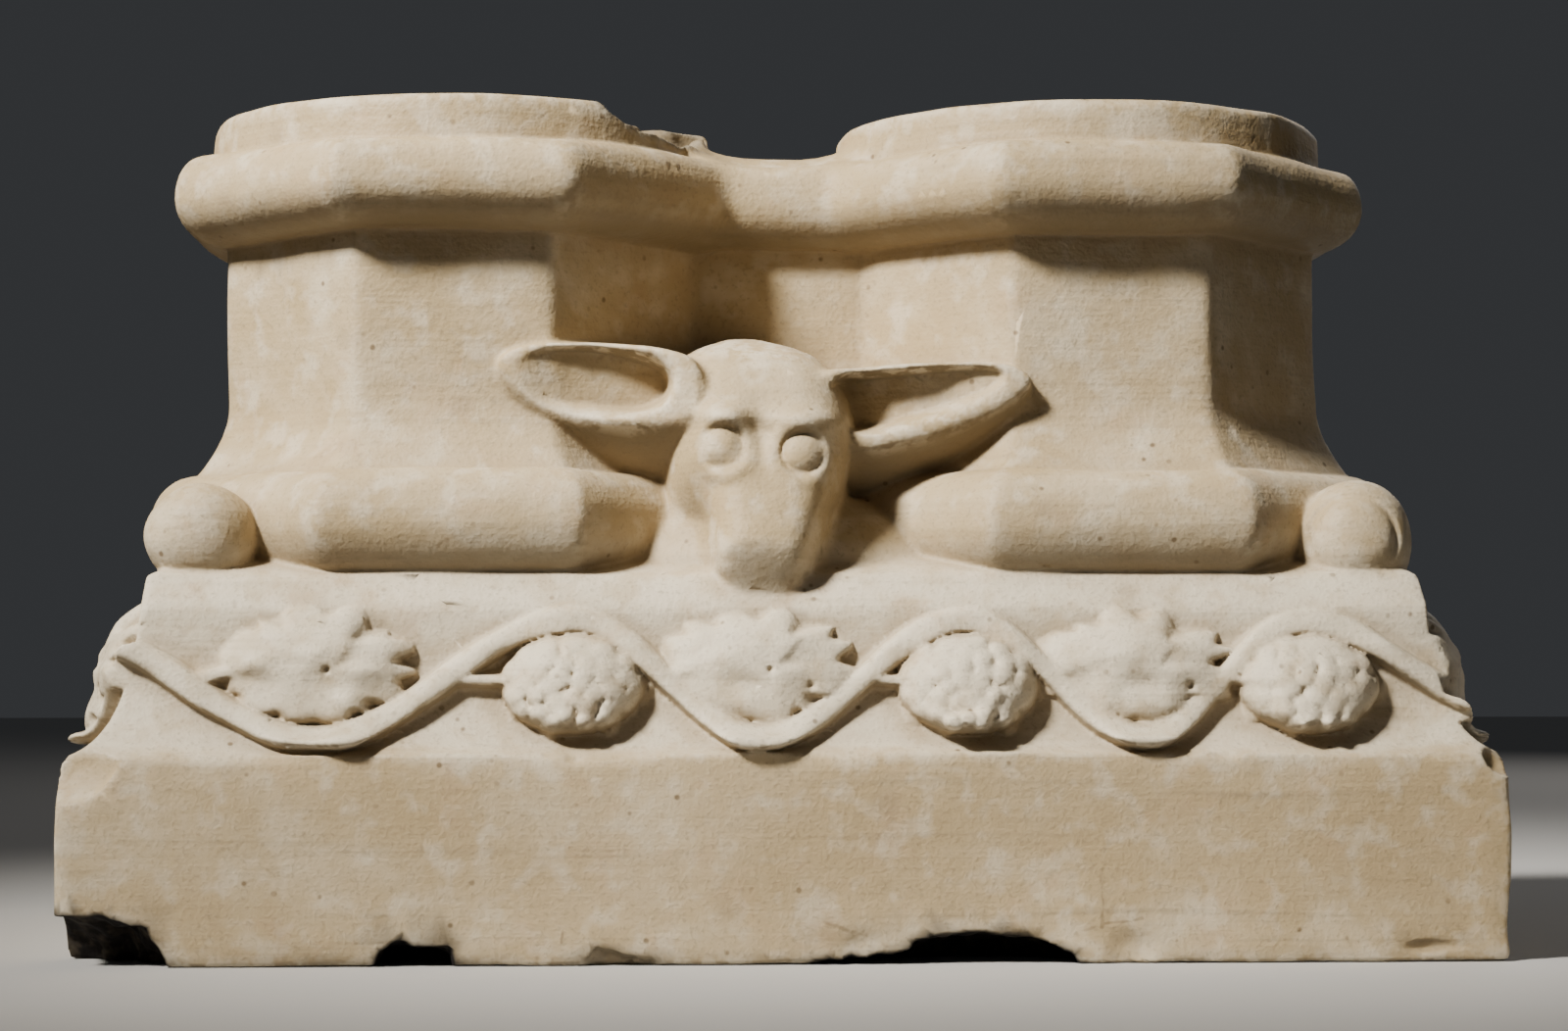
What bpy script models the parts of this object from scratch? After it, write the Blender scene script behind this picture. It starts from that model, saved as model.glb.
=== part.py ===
"""Double column base of carved marble, one block, in metres with +Z up.

Two octagonal bases with round column seats stand on one plinth. A hollow band above the plinth
carries a vine scroll, a ball sits in each corner, and a calf's head looks out over the front.
The origin is in the middle of the underside, and the front faces -Y.
"""
import random
from math import atan2, cos, hypot, pi, sin, sqrt

import bmesh
import bpy
from mathutils import Matrix, Vector

# The columns, and the plinth around them
COLUMN_SPACING = 0.270
SEAT_RADIUS = 0.107
SIDE_MARGIN = 0.0205
FRONT_MARGIN = 0.0275
PLINTH_HEIGHT = 0.082

# The hollow band and the sloping ledge above it
BAND_HEIGHT = 0.057
BAND_INSET_FRONT = 0.026
BAND_INSET_SIDE = 0.027
LEDGE_RISE = 0.0136
VALLEY_RISE = 0.028

# The octagonal base, by the distance of its flat faces from the column's axis
SHAFT_REACH = 0.0975
SHAFT_HEIGHT = 0.0976
SHAFT_FLARE = 0.0125
FLARE_HEIGHT = 0.030
LOWER_ROLL_REACH = 0.1285
LOWER_ROLL_FOOT_REACH = 0.1195
LOWER_ROLL_HEIGHT = 0.0434
UPPER_ROLL_REACH = 0.1190
UPPER_ROLL_TOP_REACH = 0.1085
UPPER_ROLL_HEIGHT = 0.0364
DRUM_HEIGHT = 0.019
ROLL_STEPS = 3

# The link between the two bases
LINK_REACH = 0.0395
LINK_RELIEF = 0.7
LINK_DROP = 0.0007
WEB_HALF_THICKNESS = 0.034
WEB_RISE = 0.010

# The corner balls
BALL_RADIUS = 0.0235
BALL_OUTSET = 0.0125
BALL_RISE = 0.0152

# The vine scroll: where its stem turns, as shares of a side's half length and of the band's height
STEM_RADIUS = 0.0043
STEM_LIFT = 0.0030
FRONT_TURNS = ((-1.0, 0.81), (-0.65, 0.10), (-0.30, 0.91), (-0.04, 0.11), (0.25, 0.91),
               (0.49, 0.12), (0.73, 0.90), (1.0, 0.33))
RIGHT_TURNS = ((-1.0, 0.33), (-0.46, 0.12), (0.0, 0.88), (0.46, 0.12), (1.0, 0.45))
BACK_TURNS = ((-1.0, 0.45), (-0.67, 0.88), (-0.34, 0.12), (0.0, 0.88), (0.34, 0.12), (0.67, 0.88),
              (1.0, 0.45))
LEFT_TURNS = ((-1.0, 0.45), (-0.46, 0.12), (0.0, 0.88), (0.46, 0.12), (1.0, 0.81))
LEAF_WIDTH = 0.068
LEAF_HEIGHT = 0.77 * BAND_HEIGHT
LEAF_RELIEF = 0.0085
CLUSTER_WIDTH = 0.054
CLUSTER_HEIGHT = 0.70 * BAND_HEIGHT
CLUSTER_RELIEF = 0.0115
BERRY_RADIUS = 0.109 * BAND_HEIGHT
GOLDEN_ANGLE = pi * (3 - sqrt(5))

# The head: how high its chin stands over the band's arris, and sections from the chin to the crown
# as height over the chin, half width, reach out from the link's face, and shift from the middle
CHIN_RISE = 0.0065
HEAD_SECTIONS = (
    (0.000, 0.0150, 0.086, -0.007),
    (0.004, 0.0225, 0.096, -0.0085),
    (0.013, 0.0265, 0.0985, -0.0095),
    (0.027, 0.0280, 0.093, -0.0080),
    (0.044, 0.0335, 0.0855, -0.0050),
    (0.058, 0.0395, 0.0800, -0.0065),
    (0.073, 0.0405, 0.0750, -0.0070),
    (0.087, 0.0375, 0.0680, -0.0090),
    (0.098, 0.0300, 0.0580, -0.0120),
    (0.1045, 0.0150, 0.0460, -0.0180),
)
EYE_RADIUS = 0.0072
EYE_LID_RADIUS = 0.0105
EYE_LID_DEPTH = 0.0045
EYE_SINK = 0.0030
HEAD_MIDDLE = -0.0105
EYES = (("left", -0.0270, 0.0600), ("right", 0.0059, 0.0565))
# Each ear: its middle from the head's foot, half length, half height and tilt
EARS = (("left", -0.0800, 0.0875, 0.038, 0.0165, 0.06), ("right", 0.0590, 0.0830, 0.043, 0.0150, -0.05))
EAR_DEPTH = 0.022
EAR_OUT = 0.062
EAR_HOLLOW = 0.74

PLINTH_WIDTH = COLUMN_SPACING + 2 * (LOWER_ROLL_REACH + SIDE_MARGIN)
PLINTH_DEPTH = 2 * (LOWER_ROLL_REACH + FRONT_MARGIN)
ARRIS_LEVEL = PLINTH_HEIGHT + BAND_HEIGHT
LOWER_ROLL_FOOT = ARRIS_LEVEL + LEDGE_RISE
SHAFT_FOOT = LOWER_ROLL_FOOT + LOWER_ROLL_HEIGHT
UPPER_ROLL_FOOT = SHAFT_FOOT + SHAFT_HEIGHT
DRUM_FOOT = UPPER_ROLL_FOOT + UPPER_ROLL_HEIGHT
TOP = DRUM_FOOT + DRUM_HEIGHT
CHIN = ARRIS_LEVEL + CHIN_RISE
OVERLAP = 0.004
FLAT_ENOUGH = 0.000002

for old in list(bpy.data.objects):
    bpy.data.objects.remove(old, do_unlink=True)


def new_collection(name):
    """A collection of that name in the scene."""
    collection = bpy.data.collections.new(name)
    bpy.context.scene.collection.children.link(collection)
    return collection


BASE = new_collection("Double column base")
ADDED = new_collection("Forms joined to the block")
CUT_AWAY = new_collection("Breaks cut from the block")


def add_object(name, data, collection):
    """An object holding that mesh or curve. Shapes outside the base's own collection are guides."""
    item = bpy.data.objects.new(name, data)
    collection.objects.link(item)
    if collection is not BASE:
        item.hide_render = True
        item.display_type = "WIRE"
    return item


def flatness(face, vertex):
    """How far a face's corner lies off the face's own plane."""
    return abs(face.normal.dot(vertex.co - face.calc_center_median()))


def mesh_from(bm, name):
    """The mesh of a bmesh, with its bent faces split into triangles and all faces turned outward."""
    bm.normal_update()
    bent = [face for face in bm.faces if any(flatness(face, vertex) > FLAT_ENOUGH for vertex in face.verts)]
    bmesh.ops.triangulate(bm, faces=bent)
    bmesh.ops.recalc_face_normals(bm, faces=bm.faces)
    mesh = bpy.data.meshes.new(name)
    bm.to_mesh(mesh)
    bm.free()
    return mesh


def plain_solid(shaped, collection):
    """Replaces a curve, or a mesh with modifiers, by a plain mesh in the same place, caps welded."""
    bpy.context.view_layer.update()
    graph = bpy.context.evaluated_depsgraph_get()
    bm = bmesh.new()
    bm.from_mesh(bpy.data.meshes.new_from_object(shaped.evaluated_get(graph)))
    bmesh.ops.remove_doubles(bm, verts=bm.verts, dist=0.00001)
    name = shaped.name
    placed = shaped.matrix_world.copy()
    bpy.data.objects.remove(shaped, do_unlink=True)
    solid = add_object(name, mesh_from(bm, name), collection)
    solid.matrix_world = placed
    return solid


def bar_from_outline(name, outline, half_length, axes, collection):
    """A bar of that cross-section, extruded both ways. axes are the outline's two and the bar's own."""
    curve = bpy.data.curves.new(name, "CURVE")
    curve.dimensions = "2D"
    curve.fill_mode = "BOTH"
    curve.extrude = half_length
    spline = curve.splines.new("POLY")
    spline.points.add(len(outline) - 1)
    for point, (across, up) in zip(spline.points, outline):
        point.co = (across, up, 0, 1)
    spline.use_cyclic_u = True
    bar = add_object(name, curve, collection)
    bar.matrix_world = Matrix([Vector(axis) for axis in axes]).transposed().to_4x4()
    return plain_solid(bar, collection)


def tube(name, points, radius, roundness, collection):
    """A stem through the points, with closed ends and four, six or more sides as roundness grows."""
    curve = bpy.data.curves.new(name, "CURVE")
    curve.dimensions = "3D"
    curve.bevel_depth = radius
    curve.bevel_resolution = roundness
    curve.use_fill_caps = True
    spline = curve.splines.new("POLY")
    spline.points.add(len(points) - 1)
    for point, place in zip(spline.points, points):
        point.co = (*place, 1)
    return plain_solid(add_object(name, curve, collection), collection)


# Plinth, hollow band and ledge


def band_hollow(height, inset):
    """How far the hollow band stands back from the plinth's face, at a height over the plinth."""
    rise = min(max(height / BAND_HEIGHT, 0), 1)
    return inset * sqrt(1 - (1 - rise) ** 2)


def block_outline(half, inset, ledge_end, steps=7):
    """The block's outline across one pair of sides: plinth, hollow band, ledge and valley."""
    one_side = [(half, 0)]
    for step in range(steps + 1):
        height = BAND_HEIGHT * (1 - cos(step / steps * pi / 2))
        one_side.append((half - band_hollow(height, inset), PLINTH_HEIGHT + height))
    one_side.append((ledge_end, LOWER_ROLL_FOOT))
    one_side.append((ledge_end - 3 * VALLEY_RISE, LOWER_ROLL_FOOT + VALLEY_RISE))
    return one_side + [(-across, up) for across, up in reversed(one_side)]


def add_block():
    """The plinth with its band and ledge, as two bars that share their mitred corners."""
    ledge_reach = LOWER_ROLL_FOOT_REACH + 0.001
    depth_outline = block_outline(PLINTH_DEPTH / 2, BAND_INSET_FRONT, ledge_reach)
    width_outline = block_outline(PLINTH_WIDTH / 2, BAND_INSET_SIDE, COLUMN_SPACING / 2 + ledge_reach)
    long_axes = ((0, 1, 0), (0, 0, 1), (1, 0, 0))
    cross_axes = ((1, 0, 0), (0, 0, 1), (0, -1, 0))
    block = bar_from_outline("column_base", depth_outline, PLINTH_WIDTH / 2 + OVERLAP, long_axes, BASE)
    cross = bar_from_outline("block_seen_from_front", width_outline, PLINTH_DEPTH / 2 + OVERLAP,
                             cross_axes, ADDED)
    mitre = block.modifiers.new("Mitred corners", "BOOLEAN")
    mitre.operation = "INTERSECT"
    mitre.object = cross
    block = plain_solid(block, BASE)
    block.data.transform(block.matrix_world)
    block.matrix_world = Matrix.Identity(4)
    bpy.data.objects.remove(cross, do_unlink=True)
    return block


# Octagonal bases, their link and the column seats


def roll(crest, top_reach, foot_reach, top, foot):
    """A rounded moulding from its top to its foot, as (reach, height) points."""
    middle = (top + foot) / 2
    half = (top - foot) / 2
    points = []
    for step in range(2 * ROLL_STEPS + 1):
        turn = pi / 2 - step * pi / (2 * ROLL_STEPS)
        base = top_reach if turn > 0 else foot_reach
        points.append((base + (crest - base) * cos(turn), middle + half * sin(turn)))
    return points


def base_profile(flare_steps=4):
    """The octagonal base's profile from its top to its foot, as (reach, height) points."""
    profile = roll(UPPER_ROLL_REACH, UPPER_ROLL_TOP_REACH, SHAFT_REACH, DRUM_FOOT, UPPER_ROLL_FOOT)
    for step in range(flare_steps):
        down = step / flare_steps
        reach = SHAFT_REACH + SHAFT_FLARE * (1 - cos(down * pi / 2))
        profile.append((reach, SHAFT_FOOT + FLARE_HEIGHT * (1 - down)))
    profile += roll(LOWER_ROLL_REACH, SHAFT_REACH + SHAFT_FLARE, LOWER_ROLL_FOOT_REACH, SHAFT_FOOT,
                    LOWER_ROLL_FOOT)
    profile.append((LOWER_ROLL_FOOT_REACH, ARRIS_LEVEL + OVERLAP))
    return profile


def add_octagon(name, centre):
    """One octagonal base, turned in eight steps with a flat face to the front."""
    corner = 1 / cos(pi / 8)
    profile = base_profile()
    profile = [(0, profile[0][1])] + profile + [(0, profile[-1][1])]
    mesh = bpy.data.meshes.new(name)
    edges = [(index, index + 1) for index in range(len(profile) - 1)]
    mesh.from_pydata([(reach * corner, 0, height) for reach, height in profile], edges, [])
    octagon = add_object(name, mesh, ADDED)
    octagon.location = (centre, 0, 0)
    octagon.rotation_euler = (0, 0, pi / 8)
    screw = octagon.modifiers.new("Eight sides", "SCREW")
    screw.steps = 8
    screw.render_steps = 8
    screw.use_merge_vertices = True
    screw.merge_threshold = 0.00001
    return octagon


def add_link():
    """The bar between the two bases, with a flatter run of the same mouldings."""
    profile = []
    for reach, height in base_profile():
        profile.append((LINK_REACH + LINK_RELIEF * (reach - SHAFT_REACH), height - LINK_DROP))
    outline = profile + [(-reach, height) for reach, height in reversed(profile)]
    axes = ((0, 1, 0), (0, 0, 1), (1, 0, 0))
    return bar_from_outline("link", outline, COLUMN_SPACING / 2, axes, ADDED)


def add_seats():
    """The two round column seats, and the low web that joins them."""
    for side, centre in (("left", -COLUMN_SPACING / 2), ("right", COLUMN_SPACING / 2)):
        bm = bmesh.new()
        height = DRUM_HEIGHT + OVERLAP
        bmesh.ops.create_cone(bm, cap_ends=True, segments=40, radius1=SEAT_RADIUS, radius2=SEAT_RADIUS,
                              depth=height, matrix=Matrix.Translation((0, 0, -height / 2)))
        seat = add_object(f"{side}_column_seat", mesh_from(bm, f"{side}_column_seat"), ADDED)
        seat.location = (centre, 0, TOP)
    outline = []
    for step in range(9):
        turn = step * pi / 8
        outline.append((WEB_HALF_THICKNESS * cos(turn), DRUM_FOOT + WEB_RISE * sin(turn)))
    outline += [(-WEB_HALF_THICKNESS, DRUM_FOOT - OVERLAP), (WEB_HALF_THICKNESS, DRUM_FOOT - OVERLAP)]
    axes = ((0, 1, 0), (0, 0, 1), (1, 0, 0))
    bar_from_outline("web", outline, COLUMN_SPACING / 2 - SEAT_RADIUS / 2, axes, ADDED)


def add_balls():
    """A ball against each outer corner of the octagonal bases."""
    bm = bmesh.new()
    bmesh.ops.create_uvsphere(bm, u_segments=12, v_segments=7, radius=BALL_RADIUS)
    mesh = mesh_from(bm, "corner_ball")
    out = (LOWER_ROLL_REACH + BALL_OUTSET) / sqrt(2)
    for x_way in (-1, 1):
        for y_way in (-1, 1):
            ball = add_object("corner_ball", mesh, ADDED)
            across = x_way * (COLUMN_SPACING / 2 + out)
            ball.location = (across, y_way * out, LOWER_ROLL_FOOT + BALL_RISE)
            ball.rotation_euler = (0, 0, 0.2)


# Vine scroll


class BandSide:
    """One side of the hollow band: places on it are a run along it, a height and a lift."""

    def __init__(self, half_run, half_depth, inset, end_inset, quarter_turns):
        self.half_run = half_run
        self.half_depth = half_depth
        self.inset = inset
        self.end_inset = end_inset
        self.turn = Matrix.Rotation(quarter_turns * pi / 2, 4, "Z")

    def within_mitres(self, run, height):
        """That run, drawn in where it would pass the mitred corner."""
        limit = self.half_run - band_hollow(height, self.end_inset) + STEM_LIFT
        return max(-limit, min(limit, run))

    def place(self, run, height, lift):
        """A point over the band's hollow face."""
        across = self.half_depth - band_hollow(height, self.inset) + lift
        return self.turn @ Vector((run, -across, PLINTH_HEIGHT + height))

    def frame(self, run, height):
        """A matrix at that place, whose Z axis looks out of the hollow and whose Y axis climbs it."""
        step = 0.001
        middle = self.place(run, height, 0)
        along = self.turn @ Vector((1, 0, 0))
        climb = (self.place(run, height + step, 0) - self.place(run, height - step, 0)).normalized()
        out = along.cross(climb)
        return Matrix.Translation(middle) @ Matrix([along, climb, out]).transposed().to_4x4()


def stem_points(side, turns, steps):
    """The stem's course: a smooth wave through its turning places, from mitre to mitre."""
    course = [turns[0]]
    for (start, low), (end, high) in zip(turns, turns[1:]):
        for step in range(1, steps + 1):
            part = step / steps
            course.append((start + (end - start) * part, low + (high - low) * (1 - cos(part * pi)) / 2))
    points = []
    for run_share, height_share in course:
        height = height_share * BAND_HEIGHT
        points.append(side.place(side.within_mitres(run_share * side.half_run, height), height, STEM_LIFT))
    return points


def leaf_mesh(segments, rings):
    """A domed vine leaf with five lobes and a notch where its stalk comes in."""
    bm = bmesh.new()
    bmesh.ops.create_uvsphere(bm, u_segments=segments, v_segments=rings, radius=1)
    for vertex in bm.verts:
        angle = atan2(vertex.co.y, vertex.co.x)
        lobe = 1 + 0.10 * cos(5 * (angle - pi / 2)) - 0.16 * max(0, cos(angle - pi)) ** 12
        rib = 1 + 0.12 * cos(5 * (angle - pi / 2)) * hypot(vertex.co.x, vertex.co.y)
        vertex.co.x *= lobe * LEAF_WIDTH / 2
        vertex.co.y *= lobe * LEAF_HEIGHT / 2
        vertex.co.z *= rib * LEAF_RELIEF
    return mesh_from(bm, "vine_leaf")


def add_cluster(side, run, height, berries, core, berry):
    """A bunch of grapes: a domed core with berries spread over its outer face."""
    frame = side.frame(run, height)
    heart = add_object("grape_cluster_core", core, ADDED)
    heart.matrix_world = frame
    for index in range(berries):
        out = sqrt((index + 0.4) / berries)
        angle = index * GOLDEN_ANGLE
        place = Vector((
            (CLUSTER_WIDTH / 2 - BERRY_RADIUS * 0.6) * out * cos(angle),
            (CLUSTER_HEIGHT / 2 - BERRY_RADIUS * 0.6) * out * sin(angle),
            (CLUSTER_RELIEF - BERRY_RADIUS) * sqrt(max(0, 1 - out ** 2)),
        ))
        grape = add_object("grape", berry, ADDED)
        grape.matrix_world = frame @ Matrix.Translation(place) @ Matrix.Rotation(angle, 4, "Z")


def core_mesh():
    """The domed core that carries a cluster's berries."""
    bm = bmesh.new()
    bmesh.ops.create_uvsphere(bm, u_segments=9, v_segments=4, radius=1)
    for vertex in bm.verts:
        vertex.co.x *= CLUSTER_WIDTH / 2 - BERRY_RADIUS * 0.5
        vertex.co.y *= CLUSTER_HEIGHT / 2 - BERRY_RADIUS * 0.5
        vertex.co.z *= CLUSTER_RELIEF - BERRY_RADIUS * 0.4
    return mesh_from(bm, "grape_cluster_core")


def berry_mesh(subdivisions):
    """One grape."""
    bm = bmesh.new()
    bmesh.ops.create_icosphere(bm, subdivisions=subdivisions, radius=BERRY_RADIUS)
    return mesh_from(bm, "grape")


def add_vine():
    """The scroll on all four sides: leaves over the stem's dips, grapes under its crests."""
    half_width = PLINTH_WIDTH / 2
    half_depth = PLINTH_DEPTH / 2
    front = BandSide(half_width, half_depth, BAND_INSET_FRONT, BAND_INSET_SIDE, 0)
    right = BandSide(half_depth, half_width, BAND_INSET_SIDE, BAND_INSET_FRONT, 1)
    back = BandSide(half_width, half_depth, BAND_INSET_FRONT, BAND_INSET_SIDE, 2)
    left = BandSide(half_depth, half_width, BAND_INSET_SIDE, BAND_INSET_FRONT, 3)
    fine_leaf = leaf_mesh(19, 5)
    plain_leaf = leaf_mesh(15, 5)
    core = core_mesh()
    grape = berry_mesh(2)
    plain_grape = berry_mesh(1)
    for name, side, turns, leaf, berry, berries, steps, roundness in (
        ("front", front, FRONT_TURNS, fine_leaf, grape, 8, 4, 1),
        ("right", right, RIGHT_TURNS, plain_leaf, plain_grape, 5, 4, 0),
        ("back", back, BACK_TURNS, plain_leaf, plain_grape, 5, 4, 0),
        ("left", left, LEFT_TURNS, plain_leaf, plain_grape, 5, 4, 0),
    ):
        tube(f"{name}_stem", stem_points(side, turns, steps), STEM_RADIUS, roundness, ADDED)
        for run, height in turns[1:-1]:
            if height > 0.5:
                add_cluster(side, run * side.half_run, 0.47 * BAND_HEIGHT, berries, core, berry)
            else:
                item = add_object(f"{name}_leaf", leaf, ADDED)
                item.matrix_world = side.frame(run * side.half_run, 0.60 * BAND_HEIGHT)


# Calf's head


def add_skull():
    """The skull and muzzle, lofted through sections that grow out of the link's face."""
    bm = bmesh.new()
    rings = []
    arc_steps = 10
    for height, half_width, reach, shift in HEAD_SECTIONS:
        ring = []
        for step in range(arc_steps + 1):
            turn = step * pi / arc_steps
            across = half_width * (abs(cos(turn)) ** 0.85) * (1 if turn < pi / 2 else -1)
            out = reach * sin(turn) ** 0.75
            ring.append(bm.verts.new((shift + across, -LINK_REACH - out, CHIN + height)))
        for way in (-1, 1):
            place = (shift + way * half_width, -LINK_REACH + OVERLAP, CHIN + height)
            ring.append(bm.verts.new(place))
        rings.append(ring)
    for lower, upper in zip(rings, rings[1:]):
        for index in range(len(lower)):
            following = (index + 1) % len(lower)
            bm.faces.new((lower[index], lower[following], upper[following], upper[index]))
    bm.faces.new(rings[0])
    bm.faces.new(rings[-1])
    return add_object("skull", mesh_from(bm, "skull"), ADDED)


def skull_reach(across, over_chin):
    """How far the skull's skin stands out from the link's face at a place seen from the front."""
    for lower, upper in zip(HEAD_SECTIONS, HEAD_SECTIONS[1:]):
        if over_chin <= upper[0]:
            break
    part = (over_chin - lower[0]) / (upper[0] - lower[0])
    half_width, reach, shift = (lower[k] + (upper[k] - lower[k]) * part for k in (1, 2, 3))
    share = min(abs(across - shift) / half_width, 1) ** (1 / 0.85)
    return reach * sqrt(1 - share ** 2) ** 0.75


def add_eye(name, across, over_chin):
    """A round eyeball that looks out of a shallow raised lid."""
    out = skull_reach(across, over_chin)
    parts = (("eyelid", EYE_LID_RADIUS, EYE_LID_DEPTH, 11), ("eye", EYE_RADIUS, EYE_RADIUS, 8))
    for part_name, radius, depth, segments in parts:
        bm = bmesh.new()
        bmesh.ops.create_uvsphere(bm, u_segments=segments, v_segments=5, radius=radius)
        bmesh.ops.scale(bm, vec=(1, 1, depth / radius), verts=bm.verts)
        item = add_object(f"{name}_{part_name}", mesh_from(bm, part_name), ADDED)
        item.location = (across, -LINK_REACH - out + EYE_SINK, CHIN + over_chin)
        item.rotation_euler = (pi / 2 - 0.12, 0, (across - HEAD_MIDDLE) * 14)


def add_ear(name, across, over_chin, half_length, half_height, tilt):
    """A pointed ear with its inside hollowed out."""
    outward = -1 if across < 0 else 1
    parts = []
    shapes = ((name, 1, 0, 14), (f"{name}_hollow", EAR_HOLLOW, EAR_DEPTH * 0.55, 11))
    for part_name, share, forward, segments in shapes:
        bm = bmesh.new()
        bmesh.ops.create_uvsphere(bm, u_segments=segments, v_segments=segments // 2, radius=1)
        for vertex in bm.verts:
            to_tip = (vertex.co.x * outward + 1) / 2
            taper = 1 - 0.45 * to_tip ** 2
            vertex.co.x *= half_length * share
            vertex.co.z *= half_height * share * taper
            vertex.co.y *= EAR_DEPTH * share * taper
        item = add_object(f"{part_name}_ear", mesh_from(bm, part_name), ADDED)
        item.location = (across, -EAR_OUT - LINK_REACH + OVERLAP - forward, CHIN + over_chin)
        item.rotation_euler = (0, outward * tilt, outward * -0.10)
        parts.append(item)
    ear, hollow = parts
    cut = ear.modifiers.new("Hollow inside", "BOOLEAN")
    cut.operation = "DIFFERENCE"
    cut.object = hollow
    plain_solid(ear, ADDED)
    bpy.data.objects.remove(hollow, do_unlink=True)


def add_head():
    """The calf's head over the middle of the front."""
    add_skull()
    for name, across, over_chin in EYES:
        add_eye(name, across, over_chin)
    for ear in EARS:
        add_ear(*ear)


# Breaks


def add_break(name, place, reach, seed):
    """A rough boulder that is cut away where the marble has broken off."""
    chance = random.Random(seed)
    bm = bmesh.new()
    bmesh.ops.create_icosphere(bm, subdivisions=2, radius=1)
    for vertex in bm.verts:
        vertex.co *= chance.uniform(0.88, 1.08)
        vertex.co = Vector(vertex.co[axis] * reach[axis] for axis in range(3))
    item = add_object(name, mesh_from(bm, name), CUT_AWAY)
    item.location = place
    item.rotation_euler = (chance.uniform(-0.1, 0.1), chance.uniform(-0.1, 0.1), chance.uniform(-0.3, 0.3))


def add_breaks():
    """The broken seat rim, the worn plinth corners and the hollows along the bottom edge."""
    half_width = PLINTH_WIDTH / 2
    half_depth = PLINTH_DEPTH / 2
    seat_edge = -COLUMN_SPACING / 2 + SEAT_RADIUS
    proud = half_depth + 0.002
    quarter_spacing = COLUMN_SPACING / 4
    add_break("seat_rim_break", (seat_edge - 0.010, -0.052, TOP + 0.010), (0.045, 0.055, 0.021), 1)
    add_break("front_left_bottom_break", (-half_width - 0.006, -proud, -0.001), (0.046, 0.032, 0.023), 2)
    add_break("front_hollow_left", (-2.126 * quarter_spacing, -proud, -0.001), (0.020, 0.016, 0.011), 3)
    add_break("front_hollow_middle", (-1.022 * quarter_spacing, -proud, -0.001), (0.015, 0.008, 0.010), 4)
    add_break("front_hollow_right", (1.156 * quarter_spacing, -proud, -0.002), (0.050, 0.024, 0.0135), 5)
    add_break("front_gouge_right", (half_width - 0.031, -proud, 0.0063), (0.0165, 0.0050, 0.0042), 6)
    add_break("left_corner_wear", (-half_width - 0.001, -proud, PLINTH_HEIGHT + 0.001), (0.023, 0.014, 0.021), 7)
    add_break("right_corner_wear", (half_width + 0.001, -proud, PLINTH_HEIGHT + 0.001), (0.013, 0.014, 0.011), 8)


def marble():
    """Old ivory marble."""
    material = bpy.data.materials.new("marble")
    material.use_nodes = True
    shader = material.node_tree.nodes["Principled BSDF"]
    shader.inputs["Base Color"].default_value = (0.72, 0.64, 0.50, 1)
    shader.inputs["Roughness"].default_value = 0.55
    shader.inputs["Metallic"].default_value = 0.0
    return material


block = add_block()
for octagon_name, octagon_way in (("left_base", -1), ("right_base", 1)):
    add_octagon(octagon_name, octagon_way * COLUMN_SPACING / 2)
add_link()
add_seats()
add_balls()
add_vine()
add_head()
add_breaks()

join = block.modifiers.new("Carved forms", "BOOLEAN")
join.operation = "UNION"
join.operand_type = "COLLECTION"
join.collection = ADDED
chip = block.modifiers.new("Breaks", "BOOLEAN")
chip.operation = "DIFFERENCE"
chip.operand_type = "COLLECTION"
chip.collection = CUT_AWAY
flat = block.modifiers.new("Whole flat faces", "DECIMATE")
flat.decimate_type = "DISSOLVE"
flat.angle_limit = 0.01
block.data.materials.clear()
block.data.materials.append(marble())
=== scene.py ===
"""Double column base of carved marble: the fine surface, its finish, and the studio around it."""
from math import cos, pi, radians, sin, sqrt

import bpy
import numpy as np
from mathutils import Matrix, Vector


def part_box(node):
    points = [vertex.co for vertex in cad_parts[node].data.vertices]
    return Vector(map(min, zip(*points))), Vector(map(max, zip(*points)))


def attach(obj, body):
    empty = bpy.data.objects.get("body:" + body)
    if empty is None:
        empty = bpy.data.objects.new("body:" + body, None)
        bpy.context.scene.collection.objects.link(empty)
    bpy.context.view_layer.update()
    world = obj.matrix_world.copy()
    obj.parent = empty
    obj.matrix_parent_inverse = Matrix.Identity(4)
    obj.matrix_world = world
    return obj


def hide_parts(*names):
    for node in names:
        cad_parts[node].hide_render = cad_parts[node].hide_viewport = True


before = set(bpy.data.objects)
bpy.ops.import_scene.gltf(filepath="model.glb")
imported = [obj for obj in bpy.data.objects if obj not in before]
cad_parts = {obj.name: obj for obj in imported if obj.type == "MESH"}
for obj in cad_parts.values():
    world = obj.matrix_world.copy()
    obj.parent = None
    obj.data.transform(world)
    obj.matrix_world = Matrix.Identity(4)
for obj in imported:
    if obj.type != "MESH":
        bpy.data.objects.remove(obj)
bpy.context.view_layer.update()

import openvdb
from mathutils import Vector

# The block
# The real base is one block of white marble, sawn and chiselled to a plinth with a hollow band over
# it, and two octagonal bases turned towards each other over that.
# It is carved here as a field of distances to the surface, negative inside the stone.
GRAIN = 0.0010
low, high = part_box("column_base")
HALF_WIDTH = (high.x - low.x) / 2
HALF_DEPTH = (high.y - low.y) / 2
TOP = high.z
SPARE = 0.005
xs = np.arange(low.x - SPARE, high.x + SPARE, GRAIN, dtype=np.float32)
ys = np.arange(low.y - SPARE, high.y + SPARE, GRAIN, dtype=np.float32)
zs = np.arange(low.z - SPARE, high.z + SPARE, GRAIN, dtype=np.float32)

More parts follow.
